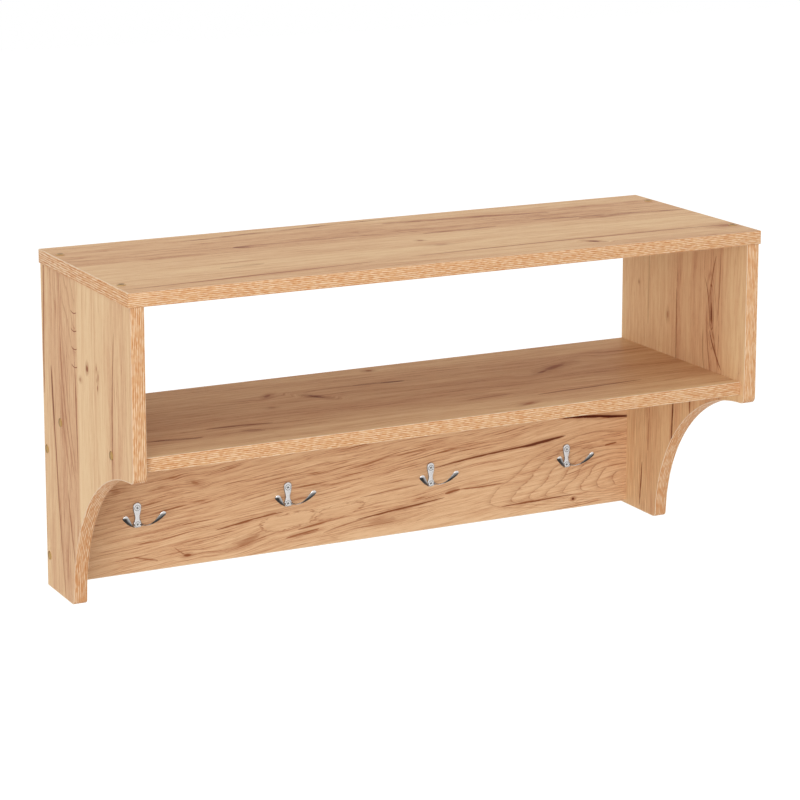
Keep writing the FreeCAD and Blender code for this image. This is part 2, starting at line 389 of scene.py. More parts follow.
@dataclass(frozen=True)
class Crack:
    """Dark split or streak along the grain. Places and sizes are in millimetres on the board.

    From bundle_from on, a width makes a loose bundle of dark fibres. Below it, the crack is a sharp core
    in a faint halo.
    """

    start: Spot
    end: Spot
    width: float = 1.6
    depth: float = 0.6
    bow: float = 0.0
    blunt: float = 0.6
    least: float = 0.02
    bundle_from: float = 4.0
    bundle_share: float = 1.5
    bundle_gain: float = 2.2
    core_share: float = 0.35
    halo_share: float = 2.6
    halo_gain: float = 0.36

    def mask(self, place: Place) -> Value:
        """How dark the crack makes a place, tapering at both ends.

        Args:
            place: Where on the decor.

        Returns:
            Share of the dark colour.
        """
        share = place.along.fade(self.start[0], self.end[0], smooth=False)
        taper = share * (1 - share) * 4
        middle = share * (self.end[1] - self.start[1]) + (taper * self.bow + self.start[1])
        reach = (taper ** self.blunt) * self.width * (place.ragged * 1.2 + 0.4) + self.least
        away = abs(place.across - middle)
        if self.width > self.bundle_from:
            bundle = place.fibres * self.bundle_gain * self.depth
            return away.fade(reach * self.bundle_share, 0.0) * bundle
        core = away.fade(reach, reach * self.core_share) * self.depth
        halo = away.fade(reach * self.halo_share, 0.0) * (self.depth * self.halo_gain)
        return core.highest(halo)


@dataclass(frozen=True)
class Knot:
    """Dark knot that the grain bends round. Its sizes are half lengths in millimetres.

    How far its pull, core and halo reach is given as squared distances, 1 on the knot's rim.
    """

    centre: Spot
    half: Spot
    depth: float = 0.7
    lean: float = 0.0
    pull: Spot = (14.0, 0.0)
    core: Spot = (1.5, 0.05)
    halo: Spot = (6.0, 0.0)
    halo_gain: float = 0.4

    def distance(self, along: Value, across: Value) -> Value:
        """Measures how far a place is from the knot.

        Args:
            along: Place along the grain.
            across: Place across the grain.

        Returns:
            Squared distance from the centre, 1 on the knot's rim.
        """
        ahead = along - self.centre[0]
        aside = across - self.centre[1] - ahead * self.lean
        return (ahead / self.half[0]) ** 2.0 + (aside / self.half[1]) ** 2.0

    def bend(self, along: Value, across: Value) -> Value:
        """The place across the grain, pulled in so that the grain passes round the knot."""
        pull = self.distance(along, across).fade(*self.pull) * self.depth
        return across - (across - self.centre[1]) * pull

    def mask(self, place: Place) -> Value:
        """How dark the knot makes a place: a ragged core in a faint halo."""
        far = self.distance(place.along, place.across) * (place.ragged * 3.4 - 0.5).highest(0.1)
        return far.fade(*self.core).highest(far.fade(*self.halo) * self.halo_gain) * self.depth


@dataclass(frozen=True)
class Arches:
    """Nested arches of growth rings that open along the grain, with sizes in millimetres.

    The outer arch bulges by reach, and is half wide above its centre and under wide below it. The other
    values are shares of the outer arch, or of the gap from ring to ring.
    """

    centre: Spot
    reach: float
    half: float
    under: float
    rings: float = 5.0
    depth: float = 0.4
    legs: float = 60.0
    wander: float = 0.3
    fray: float = 0.02
    line: float = 0.06
    line_growth: float = 0.09
    tint: float = 0.35
    tint_reach: float = 0.4
    border: Spot = (1.08, 0.9)

    def mask(self, place: Place) -> Value:
        """How dark the ring lines make a place, fading out along their legs.

        Args:
            place: Where on the decor.

        Returns:
            Share of the dark colour.
        """
        ahead = place.along - self.centre[0]
        bulge = ahead.lowest(0.0) / self.reach
        aside = place.across - self.centre[1]
        rise = aside.highest(0.0) / self.half - aside.lowest(0.0) / self.under
        radius = (bulge * bulge + rise * rise) ** 0.5
        pushed = radius + place.sway.centred() * self.wander + place.ragged.centred() * self.fray
        phase = pushed.math("FRACT", pushed * self.rings).centred()
        half_line = rise / (radius + 0.01) * self.line_growth + self.line
        line = abs(phase).fade(half_line, 0.0) * (place.ragged * 2.4 - 0.4).clamp()
        tint = phase.fade(-0.01, 0.01) * phase.fade(self.tint_reach, 0.0) * self.tint
        inside = pushed.fade(*self.border) * ahead.fade(self.legs, self.legs * 0.2)
        return line.highest(tint) * inside * self.depth


@dataclass(frozen=True)
class Island:
    """Oval of plainer wood with a thin dark outline, where the grain parts.

    Its half lengths are in millimetres, and the outline and the border inside it are shares of them.
    """

    centre: Spot
    half: Spot
    depth: float = 0.35
    lean: float = 0.0
    warp: float = 0.2
    plain: float = 0.0
    line: float = 0.11
    border: Spot = (1.0, 0.8)
    paler: float = 0.1

    def radius(self, place: Place) -> Value:
        """Measures how far a place is from the centre.

        Args:
            place: Where on the decor.

        Returns:
            Distance from the centre, 1 on the outline.
        """
        ahead = place.along - self.centre[0]
        aside = place.across - self.centre[1] - ahead * self.lean
        even = ((ahead / self.half[0]) ** 2.0 + (aside / self.half[1]) ** 2.0) ** 0.5
        return even + (place.ragged + place.sway - 1) * self.warp

    def mask(self, place: Place) -> Value:
        """How dark the outline makes a place."""
        line = abs(self.radius(place) - 1).fade(self.line, 0.0)
        return line * (place.ragged * 2.6 - 0.6).clamp() * self.depth

    def calm(self, place: Place, dark: Value) -> Value:
        """The darkness of the grain, which fades out inside the oval."""
        inside = self.radius(place).fade(*self.border) * self.plain
        return dark * (1 - inside) - inside * self.paler


@dataclass(frozen=True)
class Ladder:
    """Shallow cups of growth rings across the grain, one below the other. Sizes are in millimetres."""

    first: Spot
    last: float
    half: float
    gap: float
    sag: float = 2.5
    depth: float = 0.5
    line: Spot = (1.0, 0.1)
    end: float = 3.0
    sides: Spot = (1.0, 0.7)

    def mask(self, place: Place) -> Value:
        """How dark the cups make a place.

        Args:
            place: Where on the decor.

        Returns:
            Share of the dark colour.
        """
        aside = (place.across - self.first[1]) / self.half
        level = (self.first[0] - place.along + aside * aside * self.sag) / self.gap
        away = abs(level.math("FRACT", level + 0.5).centred()) * self.gap
        inside = abs(aside).fade(*self.sides) * level.fade(-0.3, -0.2)
        inside = inside * place.along.fade(self.last - self.end, self.last)
        return away.fade(*self.line) * (place.ragged * 1.6 + 0.1).clamp() * inside * self.depth


@dataclass(frozen=True)
class Plank:
    """Strip of the decor, from one place across the board onwards."""

    edge: float
    tone: float
    soft: float = 0.6


@dataclass(frozen=True)
class OakDecor:
    """Matt laminate printed with light oak planks, over chipboard that shows on a cut rear edge.

    Lengths are in millimetres and the slant in radians. A tone runs from 0, the lightest colour, to 1, the
    darkest, and the grain's layers from cloud to ringed are given by how much they change it.
    """

    name: str
    lay: Lay
    seed: float
    tone: float
    planks: tuple[Plank, ...]
    cracks: tuple[Crack, ...]
    knots: tuple[Knot, ...]
    arches: tuple[Arches, ...] = ()
    islands: tuple[Island, ...] = ()
    ladders: tuple[Ladder, ...] = ()
    figured_side: int = 1
    slant: float = 0.0
    cloud: float = 0.75
    streaks: float = 1.05
    fibre: float = 1.15
    hairs: float = 0.2
    ringed: float = 0.12
    ring_gap: float = 8.5
    wave: float = 16.0
    pores: float = 0.2
    drift: float = 7.0
    fray: float = 1.2
    layer_depth: float = 7.0
    steps: tuple[float, ...] = (0.0, 0.32, 0.66, 1.0)
    raw_rear: bool = True
    gloss: float = 0.05
    rough: float = 0.46
    ior: float = 1.45
    light: Colour = paint(222, 188, 144)
    tan: Colour = paint(211, 171, 129)
    pink: Colour = paint(197, 150, 111)
    brown: Colour = paint(154, 100, 66)
    stain: Colour = paint(156, 98, 64)
    split: Colour = paint(84, 36, 22)
    chip: float = 2.6
    chip_shades: tuple[Colour, ...] = (paint(170, 134, 90), paint(206, 172, 124), paint(228, 200, 154))

    def build(self) -> bpy.types.Material:
        """Makes the material from the decor's planks, grain and features.

        Returns:
            The material.
        """
        finish = Finish(self.name)
        axes = finish.millimetres()
        along, across, through = (axes[axis] for axis in self.lay.value)
        layer = through / self.layer_depth + self.seed
        sway = SWAY.read(finish, along, across, self.seed)
        ragged = RAGGED.read(finish, along, across, self.seed)
        fibres = FIBRES.read(finish, along, across, self.seed).fade(0.4, 0.62)
        drifted = across + sway.centred() * self.drift + ragged.centred() * self.fray
        place = Place(along, drifted, ragged, sway, fibres)
        grain, fine, pores = self.grain(finish, place, across, layer)
        tone = self.plank_tones(across) + grain + pores * self.pores
        stops = tuple(zip(self.steps, (self.light, self.tan, self.pink, self.brown)))
        colour = finish.shades(tone, stops)
        dark = self.features(finish, place, layer)
        colour = finish.mix((dark * 1.9).clamp(), colour, self.stain)
        colour = finish.mix((dark * 2 - 0.9).clamp(), colour, self.split)
        height = fine + pores * -0.4 - dark * 0.6
        rough = fine * 0.2 + self.rough
        if self.raw_rear:
            cut = finish.facing()[1].above(0.5)
            colour = finish.mix(cut, colour, self.chipboard(finish, axes))
            rough = rough + cut * 0.3
        finish.set(Base_Color=colour, Roughness=rough, Normal=finish.relief(height, 0.25, 0.2 * MM))
        finish.set(IOR=self.ior, Specular_IOR_Level=self.gloss)
        return finish.material

    def grain(
        self, finish: Finish, place: Place, across: Value, layer: Value
    ) -> tuple[Value, Value, Value]:
        """Works out the grain, which slants over the board and passes round the knots.

        Args:
            finish: The material in the making.
            place: Where on the decor.
            across: Place across the board, straight as it is.
            layer: Depth coordinate that differs from face to face.

        Returns:
            How dark the grain makes the decor, its fine fibres about 0, and its pores.
        """
        bent = across
        for knot in self.knots:
            bent = knot.bend(place.along, bent)
        turned = place.along * math.cos(self.slant) + bent * math.sin(self.slant)
        aside = bent * math.cos(self.slant) - place.along * math.sin(self.slant)
        flow = aside + place.sway.centred() * self.wave
        broad = BROAD.read(finish, turned, flow, layer).centred()
        streak = STREAK.read(finish, turned, flow, layer).centred()
        fine = FINE.read(finish, turned, flow, layer).centred()
        pores = PORES.read(finish, turned, flow, layer).fade(0.54, 0.7)
        hair = HAIRS.read(finish, turned, flow, layer).fade(0.56, 0.72)
        growth = Grain(190, self.ring_gap, 1.5, shift=2.0).read(finish, turned, flow, layer)
        lines = abs(growth.centred()).fade(0.04, 0.0) * (broad * 3 + 0.7).clamp()
        dark = broad * self.cloud + streak * self.streaks + fine * self.fibre
        dark = dark + hair * self.hairs + lines * self.ringed
        for island in self.islands:
            dark = island.calm(place, dark)
        return (dark, fine, pores)

    def plank_tones(self, across: Value) -> Value:
        """Sets the tone of each plank, stepping from one to the next across the board.

        Args:
            across: Place across the board.

        Returns:
            The tone, 0 at the lightest colour and 1 at the darkest.
        """
        tone = across * 0.0 + self.tone
        before = self.tone
        for plank in self.planks:
            step = across.fade(plank.edge - plank.soft, plank.edge + plank.soft)
            tone = tone + step * (plank.tone - before)
            before = plank.tone
        return tone

    def features(self, finish: Finish, place: Place, layer: Value) -> Value:
        """How dark cracks, knots and ring lines make a place.

        The board's other sides have chance streaks in their place.

        Args:
            finish: The material in the making.
            place: Where on the decor.
            layer: Depth coordinate that differs from face to face.

        Returns:
            Share of the dark colour.
        """
        turn = finish.facing()[self.lay.value[2]]
        figured = (turn * self.figured_side).above(0.5)
        dark = self.cracks[0].mask(place)
        for feature in (*self.cracks[1:], *self.knots, *self.arches, *self.islands, *self.ladders):
            dark = dark.highest(feature.mask(place))
        wander = WANDER.read(finish, place.along, place.across, layer).centred()
        gate = GATE.read(finish, place.along, place.across, layer).fade(0.56, 0.7)
        chance = abs(wander).fade(0.022, 0.0) * gate * 0.45
        return dark * figured + chance * (1 - figured * 0.75)

    def chipboard(self, finish: Finish, axes: Sequence[Value]) -> Socket:
        """Colour of pressed chips on a sawn edge, twice as long as they are thick."""
        share = finish.chips((axes[0] / self.chip, axes[1] / self.chip, axes[2] / (self.chip / 2)))
        return finish.shades(share, tuple(zip((0.0, 0.5, 1.0), self.chip_shades)))


@dataclass(frozen=True)
class Arc:
    """The arch in the lower edge of a side panel, seen from its side."""

    centre_y: float = -278.5
    centre_z: float = -350.0
    radius: float = 190.0
    blend: Spot = (5.0, 4.0)

    def share(self, axes: Sequence[Value]) -> Value:
        """1 on the arch, and 0 on the straight parts."""
        ahead, rise = axes[1] - self.centre_y, axes[2] - self.centre_z
        return abs((ahead * ahead + rise * rise) ** 0.5 - self.radius).fade(*self.blend)

    def run(self, axes: Sequence[Value]) -> Value:
        """Distance round the arch from its angle."""
        rise = axes[2] - self.centre_z
        return rise.math("ARCTAN2", rise, axes[1] - self.centre_y) * self.radius


@dataclass(frozen=True)
class EdgeBandFinish:
    """Thin plastic edge band with fine printed streaks and a pale scraped edge.

    Along and across are axes. Dash and gap are the length and spacing of the streaks, and the cells those
    of slower changes, all in millimetres.
    """

    name: str
    along: int
    across: int
    seed: float
    arc: Optional[Arc] = None
    dash: float = 7.0
    gap: float = 2.1
    wave: float = 0.9
    wave_cell: Spot = (30.0, 6.0)
    slow_cell: Spot = (45.0, 5.0)
    rough: float = 0.44
    gloss: float = 0.1
    ior: float = 1.45
    base: Colour = paint(208, 160, 114)
    streak: Colour = paint(182, 112, 56)
    gleam: Colour = paint(230, 203, 170)
    scraped: Colour = paint(226, 204, 176)

    def build(self) -> bpy.types.Material:
        """Makes the material, with streaks that follow the band round the arch and painted shade on the
        arch.

        Returns:
            The material.
        """
        finish = Finish(self.name)
        axes = finish.millimetres()
        run, side = axes[self.along], axes[self.across]
        base: Any = self.base
        if self.arc:
            round_it = self.arc.share(axes)
            run = run + (self.arc.run(axes) - run) * round_it
            # On the arch the band's base turns darker: painted shade where the band faces down
            base = finish.mix(round_it * 0.4, self.base, self.streak)
        wave = Grain(*self.wave_cell, 1.0).read(finish, run, side, self.seed).centred()
        line = side / self.gap + wave * self.wave
        dark = self.dashes(finish, run, line, self.seed + 4)
        pale = self.dashes(finish, run, line + 0.5, self.seed + 11)
        slow = Grain(*self.slow_cell, 1.0).read(finish, run, side, self.seed + 17)
        colour = finish.mix(dark * (slow * 0.3 + 0.75), base, self.streak)
        colour = finish.mix(pale * 0.85, colour, self.gleam)
        edge = abs(finish.facing()[self.across]).fade(0.3, 0.6)
        colour = finish.mix(edge * 0.8, colour, self.scraped)
        normal = finish.relief(dark * -0.6 + pale * 0.4, 0.3, 0.1 * MM)
        finish.set(Base_Color=colour, Roughness=dark * 0.1 + self.rough, Normal=normal)
        finish.set(IOR=self.ior, Specular_IOR_Level=self.gloss)
        return finish.material

    def dashes(self, finish: Finish, run: Value, line: Value, seed: float) -> Value:
        """Streaks on evenly spaced lines, each line broken up in its own way.

        Args:
            finish: The material in the making.
            run: Distance along the band.
            line: Place across the band, counted in lines.
            seed: Seed of the breaks.

        Returns:
            Share of the streak's colour.
        """
        whole = line.math("FLOOR", line)
        ridge = abs(line - whole - 0.5).fade(0.45, 0.05)
        breaks = finish.noise((run / self.dash, whole * 3.7, seed), 1.0).fade(0.38, 0.62)
        return ridge * (breaks * 0.75 + 0.25)


class Plating(Finish):
    """A metal finish in the making, with soft clouds and a fine grain along Z."""

    GRAIN_WIDTH = 0.4
    GRAIN_DEPTH = 0.03 * MM

    def __init__(self, name: str, cloud_size: float, grain_length: float) -> None:
        """Makes the material and its noise.

        Args:
            name: Name of the material.
            cloud_size: Size of a cloud, in millimetres.
            grain_length: Length of a grain along Z, in millimetres.
        """
        super().__init__(name)
        self.axes = self.millimetres()
        x, y, z = self.axes
        self.cloud = self.noise((x / cloud_size, y / cloud_size, z / cloud_size), 3.0)
        self.grain = self.noise((x / self.GRAIN_WIDTH, y / self.GRAIN_WIDTH, z / grain_length), 2.0)

    def polish(self, colour: Any, rough: float, spread: float) -> bpy.types.Material:
        """Gives the shader its colour, an uneven roughness and the grain.

        Args:
            colour: Colour of the metal.
            rough: Roughness in the middle.
            spread: How much the clouds change it.

        Returns:
            The material.
        """
        uneven = self.cloud.centred() * spread + self.grain.centred() * 0.08 + rough
        self.set(Base_Color=colour, Metallic=1.0, Roughness=uneven)
        self.set(Normal=self.relief(self.grain, 0.12, self.GRAIN_DEPTH))
        return self.material


@dataclass(frozen=True)
class Metal:
    """Plated metal with a satin surface, and painted shade inside a recess that is sunk along Y."""

    name: str
    colour: Colour
    shade: Colour
    rough: float
    flowers: float = 0.0
    flower_size: float = 7.0
    recess: Optional[Spot] = None
    painted_recess_shade: Colour = paint(44, 42, 42)

    def build(self) -> bpy.types.Material:
        """Makes the material.

        Returns:
            The material.
        """
        finish = Plating(self.name, 3.0, 2.0)
        x, y, z = finish.axes
        colour = finish.mix((finish.cloud - 0.3).clamp() * 0.4, self.colour, self.shade)
        if self.flowers:
            tint = finish.chips([part / self.flower_size for part in (x, y, z)])
            colour = finish.mix(tint * self.flowers, colour, self.shade)
        # Painted shade inside a recess sunk along Y
        if self.recess:
            colour = finish.mix(y.fade(*self.recess) * 0.85, colour, self.painted_recess_shade)
        return finish.polish(colour, self.rough, 0.16)


@dataclass(frozen=True)
class CastNickel:
    """Satin nickel of the hooks: pale plates, horns with painted shade and dark reflection that darken
    them downwards, a painted highlight at their tips, painted shade on the plates' edges and a painted
    shadow ring at each screw.

    Places are in millimetres. First and spacing set the hooks' middles, face is the front of their plates,
    horn where a horn begins in front of it, and tip how far out the painted highlight at its end lies.
    """

    name: str = "satin_nickel"
    colour: Colour = paint(207, 204, 203)
    cloudy: Colour = paint(150, 148, 147)
    # Colour of the painted shade and dark reflection on horns, plate edges and screw rings
    shade: Colour = paint(48, 46, 45)
    # Colour of the painted highlight on the horns' tips
    painted_highlight: Colour = paint(252, 251, 249)
    rough: float = 0.27
    first: float = -292.0
    spacing: float = 194.67
    # Heights of the screws, and radius and width of the painted shadow ring round each head
    screws: Spot = (-266.5, -286.5)
    ring: float = 3.3
    shadow_ring_width: float = 0.45
    face: float = -19.5
    horn: Spot = (0.8, 2.2)
    tip: Spot = (14.0, 18.0)
    highlight_heights: Spot = (-271.2, -268.9)

    def build(self) -> bpy.types.Material:
        """Makes the material. Places are read from the middle of the nearest hook.

        Returns:
            The material.
        """
        finish = Plating(self.name, 2.5, 1.6)
        x, y, z = finish.axes
        sideways = x.math("WRAP", x - self.first, self.spacing / 2, -self.spacing / 2)
        aside = abs(sideways)
        facing = finish.facing()
        horn = y.fade(self.face - self.horn[0], self.face - self.horn[1])
        # Where the painted highlight lies: near the top of each horn's end
        tip = z.fade(*self.highlight_heights) * aside.fade(*self.tip)
        # Painted shade and dark reflection on the horns, less at their tips
        dark = self.horn_shade(sideways, facing) * horn * (1 - tip)
        # Painted shade on the plates' edges that face sideways or down
        dark = dark.highest((1 - horn) * abs(facing[0]).highest(facing[2] * -1).fade(0.25, 0.85) * 0.6)
        # A painted shadow ring in the gap round each screw head
        for height in self.screws:
            away = (aside ** 2.0 + (z - height) ** 2.0) ** 0.5
            line = abs(away - self.ring).fade(self.shadow_ring_width, 0.1)
            dark = dark.highest(line * (1 - horn) * 0.75)
        colour = finish.mix((finish.cloud - 0.4).clamp() * 0.3, self.colour, self.cloudy)
        # The painted shade, dark reflection and screw shadows, in the shade colour
        colour = finish.mix(dark, colour, self.shade)
        # Painted highlight on the up-facing tips of the horns
        colour = finish.mix(horn * tip * facing[2].fade(-0.1, 0.4) * 0.85, colour, self.painted_highlight)
        return finish.polish(colour, self.rough, 0.12)

    def horn_shade(self, sideways: Value, facing: Sequence[Value]) -> Value:
        """Painted shade and dark reflection on a horn where it turns away from the light, but for its
        root.

        Args:
            sideways: Distance to the right of the hook's middle.
            facing: How far the surface faces along X, Y and Z.

        Returns:
            Share of the dark colour that paints the shade.
        """
        lean = facing[2] + facing[0] * sideways.fade(-8.0, -12.0) * 0.8
        belly = lean.fade(0.9, 0.5) * 0.7 - lean.fade(0.45, 0.1) * 0.4 + lean.fade(0.05, -0.65) * 0.9
        neck = abs(sideways).fade(20.0, 9.0) * 0.4 + sideways.fade(-20.0, -25.0) * 0.3
        root = sideways.fade(2.5, 4.0) * sideways.fade(13.0, 9.0)
        root = root + sideways.fade(-2.5, -4.0) * sideways.fade(-9.0, -6.0)
        return (belly + neck).clamp() * (1 - root * 0.95)


@dataclass(frozen=True)
class CapPlastic:
    """Moulded plastic of the cover caps, with painted shade on the flank that faces the wall and along the
    rim, and a painted highlight where the dome slopes.
    """

    name: str = "cap_plastic"
    colour: Colour = paint(176, 140, 84)
    # Colour of the painted shade, which is mixed with a random mottle
    shade: Colour = paint(122, 90, 44)
    # Colour of the painted highlight where the dome slopes
    rim: Colour = paint(200, 162, 116)
    cloud_size: float = 4.0
    speck_size: float = 0.35
    rough: float = 0.4
    gloss: float = 0.15
    ior: float = 1.5

    def build(self) -> bpy.types.Material:
        """Makes the material.

        Returns:
            The material.
        """
        finish = Finish(self.name)
        axes = finish.millimetres()
        facing = finish.facing()
        cloud = finish.noise([part / self.cloud_size for part in axes], 3.0)
        speck = finish.noise([part / self.speck_size for part in axes], 2.0)
        # Painted shade on the flank that faces the wall and on faces that point up or down, mixed with a
        # random mottle
        painted_flank_shade = (facing[1] + abs(facing[2]) * 0.5).fade(-0.1, 0.25)
        colour = finish.mix((painted_flank_shade + cloud.centred() * 0.6).clamp(), self.colour, self.shade)
        # Painted highlight where the dome slopes upward, in the rim colour
        painted_slope_highlight = facing[2].fade(0.5, 0.6) * facing[2].fade(0.996, 0.985)
        colour = finish.mix(painted_slope_highlight * 0.85, colour, self.rim)
        finish.set(Base_Color=colour, Roughness=speck * 0.2 + self.rough)
        finish.set(Normal=finish.relief(speck, 0.1, 0.05 * MM))
        finish.set(IOR=self.ior, Specular_IOR_Level=self.gloss)
        return finish.material


def dress(piece: bpy.types.Object, material: bpy.types.Material) -> None:
    """Puts one material into a piece's slots, and adds a slot if it has none.

    Args:
        piece: The piece.
        material: Its finish.
    """
    if not piece.material_slots:
        piece.data.materials.append(material)
    for slot in piece.material_slots:
        slot.material = material


def place_mesh(name: str, mesh: bpy.types.Mesh) -> bpy.types.Object:
    """Links a new object that shows a mesh.

    Args:
        name: Name of the object.
        mesh: Its mesh.

    Returns:
        The object.
    """
    piece = bpy.data.objects.new(name, mesh)
    bpy.context.scene.collection.objects.link(piece)
    return piece


def seat(piece: bpy.types.Object, node: str) -> None:
    """Lets a finished piece stand for a CAD node on the rack's body, and reports it.

    Args:
        piece: The piece.
        node: CAD node that it replaces.
    """
    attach(piece, BODY)
    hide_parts(node)
    log.info("%s: %d faces", piece.name, len(piece.data.polygons))


def settle(piece: bpy.types.Object) -> None:
    """Turns a piece with modifiers into a plain mesh without them.

    Args:
        piece: The piece.
    """
    view = bpy.context.evaluated_depsgraph_get()
    mesh = bpy.data.meshes.new_from_object(piece.evaluated_get(view))
    piece.modifiers.clear()
    spare = piece.data
    piece.data = mesh
    mesh.name = piece.name
    bpy.data.meshes.remove(spare)


def merged_copy(node: bpy.types.Object) -> bmesh.types.BMesh:
    """Copies a CAD node's triangles with their corners joined.

    Args:
        node: The CAD node.

    Returns:
        The copy.
    """
    shape = bmesh.new()
    shape.from_mesh(node.data)
    bmesh.ops.remove_doubles(shape, verts=shape.verts, dist=CLOSENESS)
    bmesh.ops.recalc_face_normals(shape, faces=shape.faces)
    return shape


def weld(mesh: bpy.types.Mesh) -> None:
    """Joins corners that lie together and takes out faces without area.

    Args:
        mesh: The mesh to mend.
    """
    shape = bmesh.new()
    shape.from_mesh(mesh)
    bmesh.ops.remove_doubles(shape, verts=shape.verts, dist=CLOSENESS)
    bmesh.ops.dissolve_degenerate(shape, edges=shape.edges, dist=CLOSENESS)
    shape.to_mesh(mesh)
    shape.free()


def crease(mesh: bpy.types.Mesh, degrees: float) -> None:
    """Shades a mesh smooth, but for edges sharper than an angle."""
    mesh.shade_smooth()
    mesh.set_sharp_from_angle(angle=math.radians(degrees))


@dataclass
class Boards:
    """The five laminated boards. Their CAD meshes stay, and each gets a decor of its own."""

    nodes: Mapping[str, bpy.types.Object]

    def decors(self) -> dict[str, OakDecor]:
        """The decor of each board, with the cracks and knots that show on it."""
        return {
            "top_board": self.top(),
            "shelf_board": self.shelf(),
            "hook_board": self.hook_board(),
            "side_panel_left": self.left_panel(),
            "side_panel_right": self.right_panel(),
        }

    @staticmethod
    def top() -> OakDecor:
        """Top board: a pinkish plank between two light ones, and two long splits at the front."""
        return OakDecor(
            name="oak_top",
            lay=Lay.FLAT,
            seed=1.0,
            tone=0.36,
            planks=(Plank(-240, 0.22, 30), Plank(-122, 0.52, 1.5), Plank(-32, 0.26, 14)),
            cracks=(
                Crack((-250, -36), (60, -10), 4.5, 0.34, 1),
                Crack((20, -37), (240, -60), 6, 0.34, 2),
                Crack((-200, -97), (-145, -99), 8, 0.42),
                Crack((195, -96), (400, -117), 5, 0.38, -2),
                Crack((35, -116), (135, -114), 7, 0.3),
                Crack((250, -112), (330, -108), 14, 0.25),
                Crack((-400, -262), (-90, -243), 2.6, 0.5),
                Crack((-42, -236), (420, -230), 2.4, 0.5, 7),
                Crack((-260, -200), (-205, -198), 6, 0.25),
            ),
            knots=(
                Knot((190, -249), (7, 5), 0.8, -0.6),
                Knot((12, -153), (5, 4), 0.45),
                Knot((22, -187), (12, 5), 0.3),
                Knot((385, -234), (18, 9), 0.4),
            ),
        )

    @staticmethod
    def shelf() -> OakDecor:
        """Shelf: a feathery knot on the right and small ones on the left."""
        return OakDecor(
            name="oak_shelf",
            lay=Lay.FLAT,
            seed=21.0,
            tone=0.16,
            planks=(Plank(-226, 0.39, 4), Plank(-138, 0.37, 18), Plank(-44, 0.29, 12)),
            cracks=(
                Crack((-275, -187), (-195, -194), 4, 0.55, 1),
                Crack((-365, -206), (-290, -219), 5, 0.4),
                Crack((-40, -79), (28, -84), 4.5, 0.5, 1),
                Crack((135, -215), (285, -208), 2.6, 0.55),
                Crack((50, -201), (115, -197), 3, 0.3),
                Crack((-245, -212), (-215, -220), 6, 0.35),
            ),
            knots=(
                Knot((222, -104), (26, 8), 0.5, 0.5),
                Knot((198, -118), (12, 4), 0.55, 0.45),
                Knot((-100, -107), (9, 6), 0.7, -1.0),
                Knot((-150, -78), (8, 5), 0.5, 0.6),
                Knot((12, -19), (6, 4), 0.5),
                Knot((105, -248), (12, 4), 0.45, 0.3),
                Knot((-168, -132), (6, 4), 0.35),
            ),
            cloud=1.0,
            streaks=1.2,
            gloss=0.02,
        )

    @staticmethod
    def hook_board() -> OakDecor:
        """Hook board: coarse slanting grain, dark splits and ring arches at the right end."""
        return OakDecor(
            name="oak_hook_board",
            lay=Lay.UPRIGHT,
            seed=41.0,
            tone=0.08,
            # The planks step darker towards the top: partly the print's own tones, partly painted shade
            # under the shelf
            planks=(Plank(-336, 0.2, 2), Plank(-290, 0.3, 30), Plank(-235, 0.33, 20)),
            cracks=(
                Crack((-192, -308), (-102, -296), 1.5, 0.6, 0.5),
                Crack((-168, -305), (-144, -301), 2.6, 0.5),
                Crack((-135, -300), (-112, -296), 2.0, 0.45),
                Crack((-245, -322), (-226, -334), 1.0, 0.45, -2),
                Crack((-297, -327), (-266, -335), 1.6, 0.4),
                Crack((-100, -331), (-55, -325), 1.8, 0.5),
                Crack((-84, -323), (-44, -318), 1.6, 0.5),
                Crack((-50, -331), (30, -315), 1.2, 0.4),
                Crack((-5, -320), (118, -307), 1.6, 0.7, 0.5),
                Crack((40, -316), (98, -309), 2.4, 0.35),
                Crack((0, -293), (82, -287), 1.1, 0.45),
                Crack((118, -302.5), (140, -300), 2.0, 0.55),
                Crack((140, -300), (202, -299), 1.3, 0.5, -1),
                Crack((103, -267), (292, -250), 1.5, 0.75, 1),
                Crack((222, -256), (290, -250), 2.6, 0.85),
                Crack((272, -224), (392, -235), 2.6, 0.95, -0.5),
                Crack((349, -269), (367, -266), 1.8, 0.6),
                Crack((198, -331.5), (304, -328), 1.3, 0.65),
                Crack((220, -331), (246, -329), 2.0, 0.5),
            ),
            knots=(
                Knot((303, -334), (2.5, 2), 0.9),
                Knot((-218, -245), (7, 3.5), 0.4, -0.3),
                Knot((-150, -326), (18, 5), 0.35, 0.25),
                Knot((30, -326), (26, 5), 0.28, 0.05),
                Knot((-228, -333.5), (6, 2.2), 0.6),
                Knot((-318, -245), (9, 2.5), 0.35),
                Knot((-262, -246), (7, 2), 0.3),
            ),
            arches=(Arches((400, -322), reach=222, half=76, under=24, rings=9, depth=0.36),),
            islands=(
                Island((-97, -309), (36, 10), 0.45, 0.08, 1.0, 0.6),
                Island((-28, -306), (32, 8), 0.35, 0.15, 0.8, 0.3),
            ),
            figured_side=-1,
            slant=0.1,
            cloud=0.6,
            streaks=0.55,
            fibre=1.6,
            hairs=0.5,
            ringed=0.45,
            ring_gap=3.4,
            wave=12.0,
            raw_rear=False,
            light=paint(226, 188, 148),
            tan=paint(215, 173, 133),
            pink=paint(200, 152, 115),
            brown=paint(158, 104, 70),
        )

